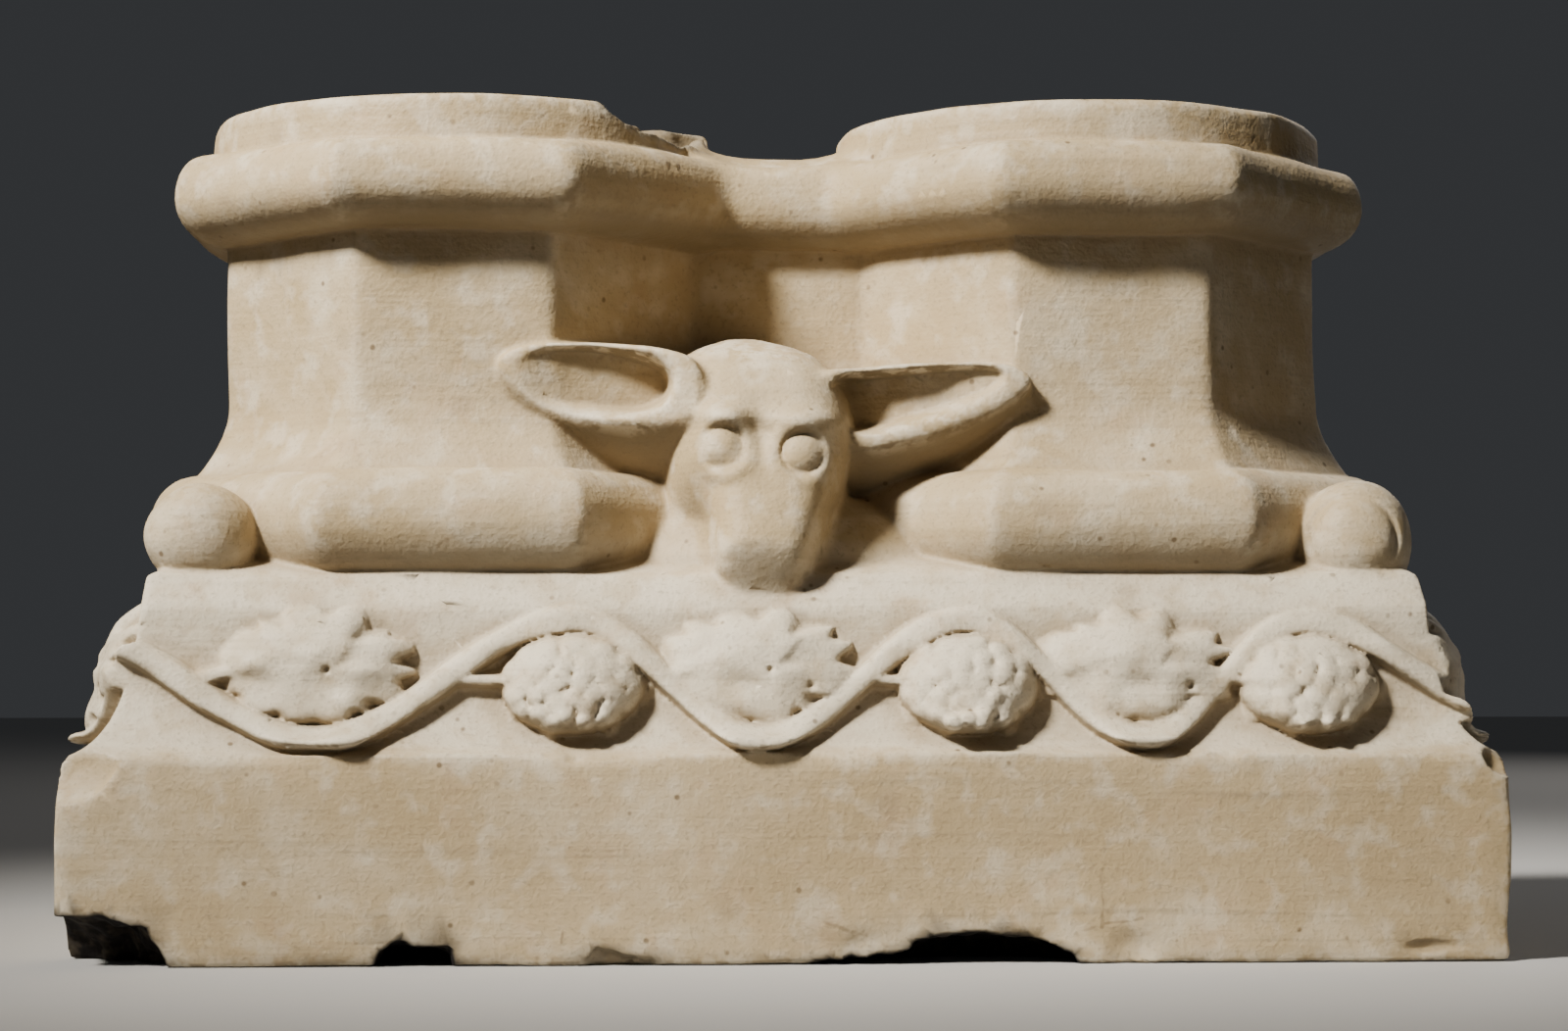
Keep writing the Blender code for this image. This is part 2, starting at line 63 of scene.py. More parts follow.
PLINTH_HEIGHT = 0.082
BAND_HEIGHT = 0.057
BAND_INSET_FRONT = 0.026
BAND_INSET_SIDE = 0.027
ARRIS = PLINTH_HEIGHT + BAND_HEIGHT
LEDGE_RISE = 0.0136
LOWER_ROLL_FOOT = ARRIS + LEDGE_RISE
VALLEY_RISE = 0.028
COLUMN_SPACING = 0.270
LOWER_ROLL_FOOT_REACH = 0.1195
LEDGE_REACH = LOWER_ROLL_FOOT_REACH + 0.001


def outline_distance(outline, across, up):
    """Signed distance from a closed outline, negative inside it."""
    nearest = np.full(np.broadcast(across, up).shape, 1.0)
    inside = np.zeros(nearest.shape, bool)
    for (ax, ay), (bx, by) in zip(outline, outline[1:] + outline[:1]):
        run, rise = bx - ax, by - ay
        part = np.clip(((across - ax) * run + (up - ay) * rise) / (run * run + rise * rise), 0, 1)
        nearest = np.minimum(nearest, np.hypot(across - ax - part * run, up - ay - part * rise))
        if rise:
            inside ^= ((ay > up) != (by > up)) & (across < ax + (up - ay) * run / rise)
    return np.where(inside, -nearest, nearest).astype(np.float32)


def band_hollow(height, inset):
    """How far the hollow band stands back from the plinth's face."""
    rise = min(max(height / BAND_HEIGHT, 0), 1)
    return inset * sqrt(1 - (1 - rise) ** 2)


def block_outline(half, inset, ledge_end):
    """Plinth, hollow band, ledge and valley, cut across one pair of sides."""
    steps = 24
    side = [(half, 0)]
    for step in range(steps + 1):
        height = BAND_HEIGHT * (1 - cos(step / steps * pi / 2))
        side.append((half - band_hollow(height, inset), PLINTH_HEIGHT + height))
    side.append((ledge_end, LOWER_ROLL_FOOT))
    side.append((ledge_end - 3 * VALLEY_RISE, LOWER_ROLL_FOOT + VALLEY_RISE))
    return side + [(-across, up) for across, up in reversed(side)]


across_depth = outline_distance(
    block_outline(HALF_DEPTH, BAND_INSET_FRONT, LEDGE_REACH), ys[:, None], zs[None, :])[None]
across_width = outline_distance(
    block_outline(HALF_WIDTH, BAND_INSET_SIDE, COLUMN_SPACING / 2 + LEDGE_REACH),
    xs[:, None], zs[None, :])[:, None]

# The vine scroll
# A vine runs round the hollow band, carved from the same block. Its stem stands about 7 mm proud and
# waves between the plinth and the arris, with a thick lobed leaf over each dip and a bunch of grapes
# under each crest. The back and the ends are guessed from the front.
STEM_HALF_WIDTH = 0.0050
STEM_RELIEF = 0.0074
STALK_HALF_WIDTH = 0.0026
STALK_RELIEF = 0.0065
VEIN_HALF_WIDTH = 0.0030
VEIN_RELIEF = 0.0055
# Where the stem turns on each side: how far along, from minus one to one, and how high on the band
FRONT_TURNS = ((-1.0, 0.81), (-0.65, 0.10), (-0.30, 0.91), (-0.04, 0.11), (0.25, 0.91),
               (0.49, 0.12), (0.73, 0.90), (1.0, 0.33))
RIGHT_TURNS = ((-1.0, 0.33), (-0.60, 0.12), (-0.06, 0.88), (0.46, 0.12), (1.0, 0.45))
BACK_TURNS = ((-1.0, 0.45), (-0.67, 0.88), (-0.34, 0.12), (0.0, 0.88), (0.34, 0.12), (0.67, 0.88),
              (1.0, 0.45))
LEFT_TURNS = ((-1.0, 0.45), (-0.46, 0.12), (0.06, 0.88), (0.60, 0.12), (1.0, 0.81))
# A leaf's half width, half height and relief; those near the front corners stand out further
LEAF_SIZE = (0.0385, 0.0228, 0.0135)
CORNER_LEAF_SIZE = (0.0400, 0.0255, 0.0190)
LEAF_LEVEL = 0.59
# Notches in a leaf's rim: the bearing, how far out they start and how deep they cut
LEAF_NOTCHES = ((140, 0.80, 0.45), (118, 0.72, 0.55), (90, 0.76, 0.60), (57, 0.52, 1.0), (30, 0.78, 0.8),
                (8, 0.70, 1.0), (-20, 0.80, 0.7), (-44, 0.66, 0.8), (-66, 0.76, 0.6), (-96, 0.80, 0.2),
                (-124, 0.82, 0.5), (-148, 0.85, 0.4))
# Soft knobs along a leaf's lower part and pits drilled into it: how far across and up from its middle
LEAF_KNOBS = (-0.40, -0.08, 0.26)
LEAF_PITS = ((0.10, -0.06), (0.52, -0.34))
CLUSTER_LEVEL = 0.47
CLUSTER_HALF_WIDTH = 0.0285
CLUSTER_HALF_HEIGHT = 0.0200
CLUSTER_RELIEF = 0.0160
GRAPES = 36
GRAPE_RADIUS = 0.0047
GRAPE_SWELL = 0.0031
GRAPE_SPREAD = 0.96
GRAPE_JITTER = 0.0006
GOLDEN_ANGLE = pi * (3 - sqrt(5))


def smooth_step(values):
    """Nought to one with soft ends."""
    values = np.clip(values, 0, 1)
    return values * values * (3 - 2 * values)


def ridge(run, up, course, half_width, relief):
    """A flat-topped strip along a course."""
    nearest = np.full(run.shape, 1.0)
    for (ax, ay), (bx, by) in zip(course, course[1:]):
        length = (bx - ax) ** 2 + (by - ay) ** 2
        part = np.clip(((run - ax) * (bx - ax) + (up - ay) * (by - ay)) / length, 0, 1)
        nearest = np.minimum(nearest, np.hypot(run - ax - part * (bx - ax), up - ay - part * (by - ay)))
    half_width = half_width * (1 + 0.13 * np.sin(run * 130 + 1) * np.sin(run * 47))
    crown = 1 - 0.16 * (nearest / half_width) ** 2 + 0.06 * np.sin(run * 210 + 30 * up)
    crown -= 0.35 * smooth_step((up / BAND_HEIGHT - 0.72) / 0.2)
    return relief * crown * smooth_step((half_width - nearest) / 0.0026 + 0.5)


def leaf(run, up, middle, level, chance, size):
    """A thick domed leaf: notched rim, a fold over its right lobes and soft knobs below."""
    half_width, half_height, relief = size
    across = (run - middle) / half_width
    rise = (up - level) / half_height
    out = np.hypot(across, rise)
    notch = np.zeros(out.shape)
    for bearing, start, depth in LEAF_NOTCHES:
        angle = radians(bearing + chance.uniform(-8, 8))
        start = start + chance.uniform(-0.06, 0.06)
        along = across * cos(angle) + rise * sin(angle)
        aside = np.abs(rise * cos(angle) - across * sin(angle)) * half_height
        width = 0.0009 + 0.0065 * np.clip(along - start, 0, 1)
        cut = np.exp(-(aside / width) ** 2) * smooth_step((along - start) / 0.16)
        notch = np.maximum(notch, cut * depth)
    wave = 0.03 * np.sin(6 * across + chance.uniform(0, 6)) + 0.03 * np.sin(7 * rise + chance.uniform(0, 6))
    # The rim is steep at the right and below, and runs softly into the ledge at the upper left
    softness = 0.40 + 0.32 * smooth_step(0.5 + 0.6 * (rise - across))
    dome = np.clip(1 - (out * (0.95 + 0.26 * notch) + wave) ** 2, 0, 1) ** softness
    # Below the fold of the upper part the leaf falls back and ends in soft knobs
    lap = 0.06 * np.sin(8 * across + chance.uniform(0, 6))
    below = smooth_step((0.25 * across ** 2 - 0.02 - rise + lap) / 0.40)
    between = np.ones(out.shape)
    for knob in LEAF_KNOBS:
        place = knob + chance.uniform(-0.07, 0.07)
        level_of_knob = chance.uniform(-0.70, -0.42)
        between -= chance.uniform(0.7, 1.0) * np.exp(
            -((across - place) / 0.13) ** 2 - ((rise - level_of_knob) / 0.26) ** 2)
    between = np.clip(between, 0, 1)
    waves = np.sin(8.5 * across + 3 * rise + chance.uniform(0, 6)) * np.sin(6.5 * rise - 2 * across)
    fold = smooth_step(((across - 0.14) * 0.8 - (rise - 0.05) * 0.42) / 0.10)
    fold = fold * smooth_step((rise + 0.1) / 0.2)
    pits = np.zeros(out.shape)
    for pit_across, pit_rise in LEAF_PITS:
        if chance.random() < 0.7:
            from_pit = np.hypot((across - pit_across) * half_width, (rise - pit_rise) * half_height)
            pits = np.maximum(pits, np.exp(-(from_pit / 0.0014) ** 2))
    lowered = 0.20 * notch + below * (0.05 + 0.13 * between) + 0.15 * fold
    lowered = lowered + 0.22 * pits + 0.05 * waves
    return relief * dome * (1 - np.clip(lowered, -0.05, 0.8))


def grapes(run, up, middle, level, chance):
    """A steep bunch of crowded, worn grapes."""
    bunch = 1 - ((run - middle) / CLUSTER_HALF_WIDTH) ** 2 - ((up - level) / CLUSTER_HALF_HEIGHT) ** 2
    swell = np.zeros(run.shape)
    for index in range(GRAPES):
        out = sqrt((index + 0.5) / GRAPES)
        angle = index * GOLDEN_ANGLE
        radius = GRAPE_RADIUS * chance.uniform(0.85, 1.2)
        grape_run = middle + GRAPE_SPREAD * CLUSTER_HALF_WIDTH * out * cos(angle)
        grape_run += chance.normal() * GRAPE_JITTER
        grape_up = level + GRAPE_SPREAD * CLUSTER_HALF_HEIGHT * out * sin(angle)
        grape_up += chance.normal() * GRAPE_JITTER
        gap = ((run - grape_run) ** 2 + (up - grape_up) ** 2) / radius ** 2
        swell = np.maximum(swell, np.sqrt(np.clip(1 - gap, 0, 1)) * chance.uniform(0.6, 1.0))
    return CLUSTER_RELIEF * np.sqrt(np.clip(bunch, 0, 1)) + GRAPE_SWELL * swell


def scroll(runs, half_run, turns, seed):
    """The carving's height over one side's hollow band."""
    chance = np.random.default_rng(seed)
    run, up = np.meshgrid(runs, zs - PLINTH_HEIGHT, indexing="ij")
    course = []
    steps = 14
    for (start, first), (end, last) in zip(turns, turns[1:]):
        for step in range(steps):
            part = step / steps
            height = first + (last - first) * (1 - cos(part * pi)) / 2
            course.append(((start + (end - start) * part) * half_run, height * BAND_HEIGHT))
    course.append((turns[-1][0] * half_run, turns[-1][1] * BAND_HEIGHT))
    relief = ridge(run, up, course, STEM_HALF_WIDTH, STEM_RELIEF)
    for (before, height_before), (share, height) in zip(turns, turns[1:-1]):
        middle = share * half_run
        halfway = (before + share) / 2 * half_run
        branch_level = (height_before + height) / 2 * BAND_HEIGHT
        if height > 0.5:
            level = CLUSTER_LEVEL * BAND_HEIGHT
            stalk = [(halfway, branch_level), (middle - CLUSTER_HALF_WIDTH * 0.8, level + 0.001)]
            relief = np.maximum(relief, grapes(run, up, middle, level, chance))
            relief = np.maximum(relief, ridge(run, up, stalk, STALK_HALF_WIDTH, STALK_RELIEF))
        else:
            level = LEAF_LEVEL * BAND_HEIGHT
            at_corner = abs(share) > 0.55 and half_run < HALF_WIDTH
            size = CORNER_LEAF_SIZE if at_corner else LEAF_SIZE
            foliage = leaf(run, up, middle, level, chance, size)
            stalk = [(halfway - 0.004, branch_level + 0.001), (middle - 0.030, level - 0.001),
                     (middle - 0.016, level + 0.005), (middle, level + 0.006)]
            vein = ridge(run, up, stalk, VEIN_HALF_WIDTH, VEIN_RELIEF)
            relief = np.maximum(relief, np.maximum(foliage + 0.18 * vein, vein))
    fade = smooth_step((up + 0.0005) / 0.003) * smooth_step((BAND_HEIGHT + 0.006 - up) / 0.006)
    return (relief * fade).astype(np.float32)


front = (ys < 0)[None, :, None]
left = (xs < 0)[:, None, None]
front_scroll = scroll(xs, HALF_WIDTH, FRONT_TURNS, 11)[:, None]
back_scroll = scroll(-xs, HALF_WIDTH, BACK_TURNS, 12)[:, None]
right_scroll = scroll(ys, HALF_DEPTH, RIGHT_TURNS, 13)[None]
left_scroll = scroll(-ys, HALF_DEPTH, LEFT_TURNS, 14)[None]
stone = np.maximum(across_depth - np.where(front, front_scroll, back_scroll),
                   across_width - np.where(left, left_scroll, right_scroll))

# The two octagonal bases
# Each is the foot of one column: a thick roll, a tall shaft that flares to its foot, and an upper
# roll under a round seat. A narrower run of the same mouldings links them, with a low web on top.
SHAFT_REACH = 0.0975
SHAFT_FLARE = 0.0125
FLARE_HEIGHT = 0.030
LOWER_ROLL_REACH = 0.1285
LOWER_ROLL_HEIGHT = 0.0434
LOWER_ROLL_UNDERCUT = 0.0070
UPPER_ROLL_REACH = 0.1190
UPPER_ROLL_TOP_REACH = 0.1085
UPPER_ROLL_HEIGHT = 0.0364
DRUM_HEIGHT = 0.019
SEAT_RADIUS = 0.107
LINK_REACH = 0.0395
LINK_RELIEF = 0.7
WEB_RADIUS = 0.0115
WEB_SINK = 0.002
WEB_SPREAD = 3.0
WEB_HALF_LENGTH = 0.008
WEB_RISE = 6.0
SHAFT_FOOT = LOWER_ROLL_FOOT + LOWER_ROLL_HEIGHT
DRUM_FOOT = TOP - DRUM_HEIGHT
UPPER_ROLL_FOOT = DRUM_FOOT - UPPER_ROLL_HEIGHT
# The outlines start behind the axis, so that the axis itself lies well inside the stone
BEHIND_AXIS = -0.05


def roll(crest, top_reach, foot_reach, top, foot):
    """A rounded moulding, top to foot."""
    steps = 20
    points = []
    for step in range(steps + 1):
        turn = pi / 2 - step * pi / steps
        base = top_reach if turn > 0 else foot_reach
        points.append((base + (crest - base) * cos(turn), (top + foot) / 2 + (top - foot) / 2 * sin(turn)))
    return points


def base_outline():
    """The octagonal base cut from its axis out, with its two rolls and the flare between them."""
    flare_steps = 12
    outline = [(BEHIND_AXIS, DRUM_FOOT)]
    outline += roll(UPPER_ROLL_REACH, UPPER_ROLL_TOP_REACH, SHAFT_REACH, DRUM_FOOT, UPPER_ROLL_FOOT)
    for step in range(flare_steps):
        down = step / flare_steps
        outline.append((SHAFT_REACH + SHAFT_FLARE * (1 - cos(down * pi / 2)),
                        SHAFT_FOOT + FLARE_HEIGHT * (1 - down)))
    foot = LOWER_ROLL_FOOT_REACH - LOWER_ROLL_UNDERCUT
    outline += roll(LOWER_ROLL_REACH, SHAFT_REACH + SHAFT_FLARE, foot, SHAFT_FOOT, LOWER_ROLL_FOOT)
    return outline + [(foot, PLINTH_HEIGHT), (BEHIND_AXIS, PLINTH_HEIGHT)]


def seat_outline():
    """A column seat cut from its axis out, with a worn rim."""
    worn = 0.0015
    return [(BEHIND_AXIS, TOP), (SEAT_RADIUS - worn, TOP), (SEAT_RADIUS, TOP - worn),
            (SEAT_RADIUS + 0.0008, DRUM_FOOT - 0.004), (BEHIND_AXIS, DRUM_FOOT - 0.004)]


def soft_union(first, second, blend):
    """Joins two forms with a small hollow where they meet."""
    mix = np.clip(0.5 + 0.5 * (second - first) / blend, 0, 1)
    return second + (first - second) * mix - blend * mix * (1 - mix)


def swept(outline, reach):
    """A moulding carried round: the outline's distance wherever its own reach is found."""
    spacing = 0.001
    shortest, longest = -0.02, 0.22
    table = outline_distance(outline, np.arange(shortest, longest, spacing)[:, None], zs[None, :])
    place = (reach - shortest) / spacing
    row = np.clip(place.astype(int), 0, len(table) - 2)
    part = (place - row)[..., None].astype(np.float32)
    return table[row] * (1 - part) + table[row + 1] * part


x_grid, y_grid = np.meshgrid(xs, ys, indexing="ij")
for centre in (-COLUMN_SPACING / 2, COLUMN_SPACING / 2):
    side_x, side_y = np.abs(x_grid - centre), np.abs(y_grid)
    reach = soft_union(-side_x, -side_y, 0.002)
    reach = -soft_union(reach, -(side_x + side_y) / sqrt(2), 0.002)
    stone = soft_union(stone, swept(base_outline(), reach), 0.003)
    stone = soft_union(stone, swept(seat_outline(), np.hypot(side_x, side_y)), 0.002)
link = LINK_RELIEF * swept(base_outline(), (np.abs(y_grid) - LINK_REACH) / LINK_RELIEF + SHAFT_REACH)
link = np.maximum(link, np.abs(xs)[:, None, None] - COLUMN_SPACING / 2)
stone = soft_union(stone, link, 0.004)


def around(middle, reach):
    """The part of the field within that reach of a place, with its own axes."""
    cut = []
    places = []
    for index, axis in enumerate((xs, ys, zs)):
        first, last = np.searchsorted(axis, (middle[index] - reach[index], middle[index] + reach[index]))
        cut.append(slice(first, last))
        shape = [1, 1, 1]
        shape[index] = -1
        places.append(axis[first:last].reshape(shape))
    return tuple(cut), *places


def ellipsoid(x, y, z, middle, radii):
    """Distance from an ellipsoid, near enough."""
    share = np.sqrt(sum(((place - at) / radius) ** 2
                        for place, at, radius in zip((x, y, z), middle, radii)))
    return (share - 1) * min(radii)


web, x, y, z = around((0, 0, DRUM_FOOT), (0.09, 0.05, 0.02))
web_rise = WEB_RISE * np.clip(np.abs(x) - WEB_HALF_LENGTH, 0, None) ** 2
hump = np.hypot(y / WEB_SPREAD, z - DRUM_FOOT + WEB_SINK) - WEB_RADIUS - web_rise
stone[web] = soft_union(stone[web], hump, 0.004)

# The corner balls
# A ball about 47 mm across sits on the ledge in each corner, against the lower roll. A crease runs
# round the front right one, where a worn hood of stone was left over it.
BALL_RADIUS = 0.0235
BALL_OUTSET = 0.0125
BALL_RISE = 0.0152
BALL_LUMPS = 0.0013
HOOD_RADIUS = 0.0172
CREASE_DEPTH = 0.0020
CREASE_HALF_WIDTH = 0.0015


def lumps(spacing, seed, cut=(slice(None),) * 3):
    """Smooth unevenness of about one either way, with lumps of that size, over the field or a part."""
    chance = np.random.default_rng(seed)
    knots = [int((axis[-1] - axis[0]) / spacing) + 4 for axis in (xs, ys, zs)]
    values = chance.uniform(-3, 3, knots).astype(np.float32)
    for index, axis in enumerate((xs, ys, zs)):
        knot = (axis[cut[index]] - axis[0]) / spacing
        first = knot.astype(int)
        part = (knot - first).astype(np.float32)
        shape = [1, 1, 1]
        shape[index] = -1
        weights = ((1 - part) ** 3, 3 * part ** 3 - 6 * part ** 2 + 4,
                   3 * (part + part ** 2 - part ** 3) + 1, part ** 3)
        values = sum(np.take(values, first + step, index) * (weight / 6).reshape(shape)
                     for step, weight in enumerate(weights))
    return values


ball_out = (LOWER_ROLL_REACH + BALL_OUTSET) / sqrt(2)
ball_level = LOWER_ROLL_FOOT + BALL_RISE
for x_way in (-1, 1):
    for y_way in (-1, 1):
        ball = (x_way * (COLUMN_SPACING / 2 + ball_out), y_way * ball_out, ball_level)
        cut, x, y, z = around(ball, (0.034, 0.034, 0.034))
        form = ellipsoid(x, y, z, ball, (BALL_RADIUS,) * 3) + BALL_LUMPS * lumps(0.016, 7, cut)
        if (x_way, y_way) == (1, -1):
            aside = 0.97 * (x - ball[0]) - 0.24 * (y - ball[1])
            crease = np.exp(-((np.hypot(aside, z - ball[2]) - HOOD_RADIUS) / CREASE_HALF_WIDTH) ** 2)
            form = form + CREASE_DEPTH * crease * smooth_step((z - ball[2] + 0.012) / 0.010)
        stone[cut] = soft_union(stone[cut], form, 0.002)

# The calf's head
# A calf's head looks out over the front between the two bases, a little left of the middle, with
# round eyes in raised lids and two ears whose insides are hollowed out.
CHIN = ARRIS + 0.0065
# Sections of the head from the chin up: height, left and right edges, and reach out from the link
HEAD_SECTIONS = np.array((
    (-0.0085, -0.0150, 0.0030, 0.0620),
    (-0.0050, -0.0245, 0.0085, 0.0800),
    (0.000, -0.0305, 0.0125, 0.0890),
    (0.009, -0.0345, 0.0160, 0.0960),
    (0.018, -0.0355, 0.0180, 0.0975),
    (0.029, -0.0360, 0.0212, 0.0930),
    (0.043, -0.0400, 0.0280, 0.0870),
    (0.056, -0.0460, 0.0320, 0.0830),
    (0.068, -0.0480, 0.0330, 0.0800),
    (0.080, -0.0480, 0.0300, 0.0755),
    (0.090, -0.0465, 0.0250, 0.0690),
    (0.098, -0.0430, 0.0180, 0.0600),
    (0.103, -0.0370, 0.0080, 0.0500),
    (0.1065, -0.0270, -0.0040, 0.0360),
))
FLATNESS = 3.4
SKULL_SCALE = 0.034
# The nostril: its place across and over the chin, its radius and depth
NOSTRIL = (0.0077, 0.0058, 0.0013, 0.0012)
EYE_RADIUS = 0.0096
EYE_DEPTH = 0.0068
# Each eye: its place across and over the chin, and the depths of the grooves round it and under its brow
EYES = ((-0.0252, 0.0575, 0.0002, 0.0008), (0.0062, 0.0552, 0.0007, 0.0008))

head_middle = (-0.005, -0.090, CHIN + 0.046)
cut, x, y, z = around(head_middle, (0.094, 0.062, 0.072))
over_chin = z - CHIN
left_edge, right_edge, head_reach = (
    np.interp(over_chin, HEAD_SECTIONS[:, 0], HEAD_SECTIONS[:, column]) for column in (1, 2, 3))
half_face = (right_edge - left_edge) / 2
share_across = np.abs(x - (right_edge + left_edge) / 2) / half_face
share_out = np.clip(-LINK_REACH - y, 0, None) / head_reach
skull = ((share_across ** FLATNESS + share_out ** FLATNESS) ** (1 / FLATNESS) - 1) * SKULL_SCALE
skull = np.maximum(skull, np.maximum(HEAD_SECTIONS[0, 0] - over_chin, over_chin - HEAD_SECTIONS[-1, 0]))
# The nose ends in a plane that slopes back to the chin
nose_plane = (CHIN + 0.0065 - z) * 0.45 + (-LINK_REACH - 0.0935 - y) * 0.89 - 0.10 * (x + 0.004)
skull = -soft_union(-skull, -nose_plane, 0.004)
from_nostril = np.hypot(x - NOSTRIL[0], over_chin - NOSTRIL[1])
skull = skull + NOSTRIL[3] * np.exp(-(from_nostril / NOSTRIL[2]) ** 2) * (y < -0.12)
for eye_x, eye_up, groove, brow_groove in EYES:
    left_side, right_side, eye_reach = (
        np.interp(eye_up, HEAD_SECTIONS[:, 0], HEAD_SECTIONS[:, column]) for column in (1, 2, 3))
    aside = abs(eye_x - (left_side + right_side) / 2) / ((right_side - left_side) / 2)
    eye_y = -LINK_REACH - eye_reach * (1 - aside ** FLATNESS) ** (1 / FLATNESS)
    eye_z = CHIN + eye_up
    from_eye = np.hypot(x - eye_x, z - eye_z)
    over_eye = smooth_step((z - eye_z + 0.25 * (eye_x - x)) / 0.006 + 0.2)
    brow = np.exp(-(((x - eye_x) / 0.013) ** 2 + ((z - eye_z - 0.0145) / 0.0045) ** 2))
    lid = np.exp(-((from_eye - 0.0112) / 0.0026) ** 2)
    socket = np.exp(-((from_eye - 0.0076) / 0.0016) ** 2)
    skull = skull - 0.0026 * brow - 0.0008 * lid + (groove + brow_groove * over_eye) * socket
    ball = ellipsoid(x, y, z, (eye_x, eye_y + EYE_DEPTH, eye_z), (EYE_RADIUS,) * 3)
    skull = soft_union(skull, ball, 0.0015)
# A shallow dip between the brows and over the bridge of the nose
skull = skull + 0.0016 * np.exp(-(((x + 0.011) / 0.007) ** 2 + ((over_chin - 0.066) / 0.012) ** 2))
# An apron of stone left round the muzzle runs down to the ledge
apron = ellipsoid(x, y, z, (-0.004, -0.0755, ARRIS + 0.0025), (0.0800, 0.0400, 0.0500))
skull = soft_union(skull, apron, 0.006)
# The left cheek spreads back towards the ear's root
cheek = ellipsoid(x, y, z, (-0.0370, -0.0780, CHIN + 0.047), (0.0125, 0.0300, 0.0200))
skull = soft_union(skull, cheek, 0.009)
stone[cut] = soft_union(stone[cut], skull, 0.003)


def softened(outline, rounds=3):
    """An outline with its corners cut until it is smooth."""
    for _ in range(rounds):
        following = outline[1:] + outline[:1]
        outline = [(ax * (1 - part) + bx * part, ay * (1 - part) + by * part)
                   for (ax, ay), (bx, by) in zip(outline, following) for part in (0.25, 0.75)]
    return outline


def ear(outline, hollow, face, depths, fall, lean):
    """A scooped ear, root to tip: its front stands at face, the hollow lies depths behind, its back leans."""
    middle = np.mean(outline, 0)
    cut, x, y, z = around((middle[0], -0.085, middle[1]), (0.062, 0.050, 0.052))
    flat_x, flat_z = x[:, :, 0], z[0]
    edge = outline_distance(softened(outline), flat_x, flat_z)[:, None]
    pit = outline_distance(softened(hollow), flat_x, flat_z)[:, None]
    root, tip = outline[0][0], max((point[0] for point in outline), key=lambda at: abs(at - outline[0][0]))
    to_tip = np.clip((x - root) / (tip - root), 0, 1)
    front = face[0] + (face[1] - face[0]) * to_tip
    depth = np.maximum(depths[0] + (depths[1] - depths[0]) * to_tip ** fall, 0.0012)
    # The wall under the upper rim is steep and the one over the lower lip is a long slope
    bottom, top = (pick(point[1] for point in hollow) for pick in (min, max))
    wall = 0.0030 + 0.0055 * (1 - smooth_step((z - bottom) / (top - bottom))) * (0.35 + 0.65 * to_tip)
    lip = 0.0032 - 0.0018 * smooth_step((z - bottom) / (top - bottom))
    floor_y = front + depth * smooth_step((lip - pit) / wall)
    behind = np.clip(y - front, 0, 0.05)
    below = smooth_step((middle[1] - z) / 0.016 + 0.5)
    body = edge - behind * lean * below + 0.0016 * smooth_step(1 - behind / 0.002)
    form = np.maximum(body, (floor_y - y) * 0.75)
    stone[cut] = soft_union(stone[cut], form, 0.0025)


LEFT_EAR = [(-0.034, 0.2400), (-0.044, 0.2445), (-0.056, 0.2475), (-0.072, 0.2492), (-0.088, 0.2488),
            (-0.103, 0.2475), (-0.114, 0.2440), (-0.118, 0.2390), (-0.114, 0.2325), (-0.106, 0.2255),
            (-0.094, 0.2195), (-0.080, 0.2160), (-0.062, 0.2140), (-0.045, 0.2130), (-0.034, 0.2170)]
LEFT_HOLLOW = [(-0.0495, 0.2382), (-0.0599, 0.2421), (-0.0738, 0.2453), (-0.0897, 0.2456), (-0.1016, 0.2435),
               (-0.1095, 0.2387), (-0.1087, 0.2310), (-0.1010, 0.2225), (-0.0896, 0.2205), (-0.0738, 0.2196),
               (-0.0598, 0.2192), (-0.0500, 0.2230), (-0.0458, 0.2302)]
RIGHT_EAR = [(0.012, 0.2340), (0.020, 0.2372), (0.036, 0.2385), (0.056, 0.2398), (0.076, 0.2412),
             (0.089, 0.2402), (0.098, 0.2370), (0.1025, 0.2320), (0.097, 0.2260), (0.082, 0.2172),
             (0.064, 0.2105), (0.048, 0.2060), (0.034, 0.2030), (0.018, 0.2060)]
RIGHT_HOLLOW = [(0.0200, 0.2300), (0.0250, 0.2342), (0.0420, 0.2355), (0.0600, 0.2370), (0.0801, 0.2383),
                (0.0902, 0.2360), (0.0890, 0.2308), (0.0781, 0.2248), (0.0620, 0.2190), (0.0459, 0.2150),
                (0.0345, 0.2118), (0.0250, 0.2142), (0.0190, 0.2215)]
ear(LEFT_EAR, LEFT_HOLLOW, (-0.113, -0.1012), (0.027, -0.003), 1.0, 0.85)
ear(RIGHT_EAR, RIGHT_HOLLOW, (-0.104, -0.107), (0.028, 0.002), 0.6, 0.60)

# Wear and breaks
# The block has lost its sharp arrises to wear. The left seat's rim is broken at the front, the upper
# corners of the plinth are knocked off, and pieces are missing along the bottom edge.
UNEVENNESS = 0.0012
FINE_UNEVENNESS = 0.00038
WEAR_SPREAD = 0.0024
# How much of the full wear each level gets: the band's carving and the ears are the least worn
WEAR_LEVELS = (PLINTH_HEIGHT, PLINTH_HEIGHT + 0.006, ARRIS - 0.006, ARRIS, 0.200, 0.210, 0.250, 0.260)
WEAR_SHARES = (1.0, 0.40, 0.40, 1.0, 1.0, 0.65, 0.65, 1.0)
BREAK_LUMPS = 0.0085
CRUMB_LUMPS = 0.0035
CRUMB = 0.0009
# How far the painted shade reaches out past a break's cut
BREAK_SHADE_REACH = 0.0032
